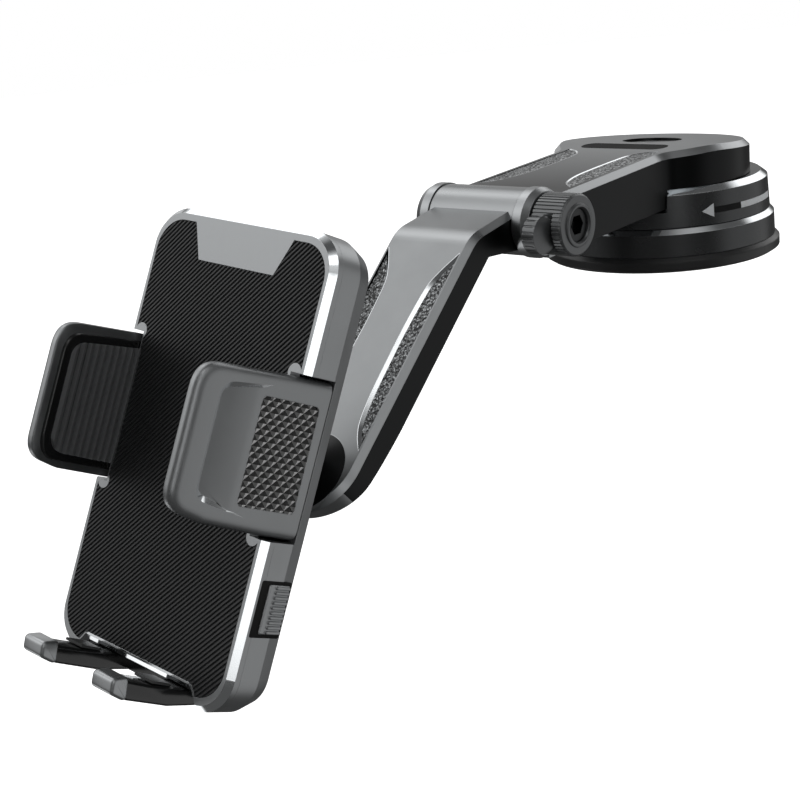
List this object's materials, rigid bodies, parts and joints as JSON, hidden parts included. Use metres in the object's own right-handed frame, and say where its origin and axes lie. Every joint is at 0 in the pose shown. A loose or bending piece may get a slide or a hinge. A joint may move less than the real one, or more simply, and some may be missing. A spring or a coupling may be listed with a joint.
{
  "type": "car phone mount",
  "caption": "Suction-base phone mount with a twist lock, folding hinged arm, ball joint and a cradle with rack-driven side jaws and a pull-out foot.",
  "frame": {"origin": "centre of the gel disc's flat underside", "axes": "+Z out of the surface it sticks to; the arms lie in the YZ plane and reach towards -Y; +X towards the hinge knob"},
  "size_m": [0.076, 0.2862, 0.1082],
  "materials": {
    "gel_rubber": "soft satin",
    "base_plastic": "fine satin",
    "arm_plastic": "satin metallic charcoal",
    "cradle_plastic": "satin metallic charcoal",
    "knob_plastic": "satin",
    "foot_plastic": "gloss",
    "inner_plastic": "natural",
    "grip_inlay": "coarse sparkle grain",
    "pad_rubber": "matt ribbed",
    "steel": "zinc plated",
    "black_steel": "black oxide"
  },
  "bodies": {
    "base": {"gel_disc": "gel_rubber", "base_skirt": "base_plastic", "hub_screws": "steel", "base_arm": "arm_plastic", "base_arm_inlays": "grip_inlay", "base_arm_cover": "arm_plastic", "base_cover_screws": "steel", "hinge_nut": "steel"},
    "dial": {"lock_dial": "base_plastic"},
    "plunger": {"lift_plunger": "inner_plastic", "cam_pin": "steel"},
    "knob": {"hinge_knob": "knob_plastic", "hinge_bolt": "black_steel"},
    "lower_arm": {"lower_arm": "arm_plastic", "lower_arm_inlays": "grip_inlay", "lower_arm_cover": "arm_plastic", "lower_cover_screws": "steel", "ball_stud": "arm_plastic", "friction_washers": "inner_plastic"},
    "liner": {"ball_liner": "inner_plastic"},
    "nut": {"ball_nut": "knob_plastic"},
    "cradle": {"ball_socket": "cradle_plastic", "socket_screws": "steel", "rear_shell": "cradle_plastic", "shell_screws": "steel", "front_plate": "cradle_plastic", "front_pad": "pad_rubber", "pinion_clip": "steel"},
    "pinion": {"pinion": "inner_plastic"},
    "right_jaw": {"right_jaw": "cradle_plastic", "right_jaw_pad": "pad_rubber"},
    "left_jaw": {"left_jaw": "cradle_plastic", "left_jaw_pad": "pad_rubber"},
    "right_button": {"right_button": "knob_plastic"},
    "left_button": {"left_button": "knob_plastic"},
    "foot": {"foot_slide": "foot_plastic", "foot_pads": "pad_rubber"}
  },
  "joints": [
    {"name": "dial_twist", "type": "hinge", "parent": "base", "child": "dial", "pos_m": [0, 0, 0.02], "axis": [0, 0, 1], "range_deg": [0, 60]},
    {"name": "plunger_lift", "type": "slide", "parent": "base", "child": "plunger", "axis": [0, 0, 1], "range_m": [-0.0015, 0]},
    {"name": "elbow", "type": "hinge", "parent": "base", "child": "lower_arm", "pos_m": [0, -0.0889, 0.0269], "axis": [1, 0, 0], "range_deg": [-60, 20]},
    {"name": "knob_turn", "type": "hinge", "parent": "base", "child": "knob", "pos_m": [0, -0.0889, 0.0269], "axis": [1, 0, 0], "continuous": true},
    {"name": "ball_tilt", "type": "hinge", "parent": "lower_arm", "child": "liner", "pos_m": [0, -0.18001, -0.01212], "axis": [1, 0, 0], "range_deg": [-30, 8]},
    {"name": "ball_yaw", "type": "hinge", "parent": "liner", "child": "nut", "pos_m": [0, -0.18001, -0.01212], "axis": [0.0698, 0.4153, 0.907], "range_deg": [-12, 12]},
    {"name": "cradle_turn", "type": "hinge", "parent": "nut", "child": "cradle", "pos_m": [0, -0.18001, -0.01212], "axis": [0, -0.9092, 0.4163], "continuous": true},
    {"name": "right_jaw_slide", "type": "slide", "parent": "cradle", "child": "right_jaw", "axis": [0.9976, -0.029, -0.0634], "range_m": [0, 0.015]},
    {"name": "left_jaw_slide", "type": "slide", "parent": "cradle", "child": "left_jaw", "axis": [-0.9976, 0.029, 0.0634], "range_m": [0, 0.015]},
    {"name": "pinion_spin", "type": "hinge", "parent": "cradle", "child": "pinion", "pos_m": [0, -0.1982, -0.00379], "axis": [0, 0.9092, -0.4163], "range_deg": [0, 122.7]},
    {"name": "right_button_press", "type": "slide", "parent": "cradle", "child": "right_button", "axis": [-0.9976, 0.029, 0.0634], "range_m": [0, 0.0015]},
    {"name": "left_button_press", "type": "slide", "parent": "cradle", "child": "left_button", "axis": [0.9976, -0.029, -0.0634], "range_m": [0, 0.0015]},
    {"name": "foot_pull", "type": "slide", "parent": "cradle", "child": "foot", "axis": [-0.0698, -0.4153, -0.907], "range_m": [0, 0.01]}
  ],
  "couplings": [
    {"joint": "plunger_lift", "follows": "dial_twist", "m_per_rad": -0.0014323},
    {"joint": "left_jaw_slide", "follows": "right_jaw_slide", "ratio": 1},
    {"joint": "pinion_spin", "follows": "right_jaw_slide", "rad_per_m": 142.86}
  ]
}
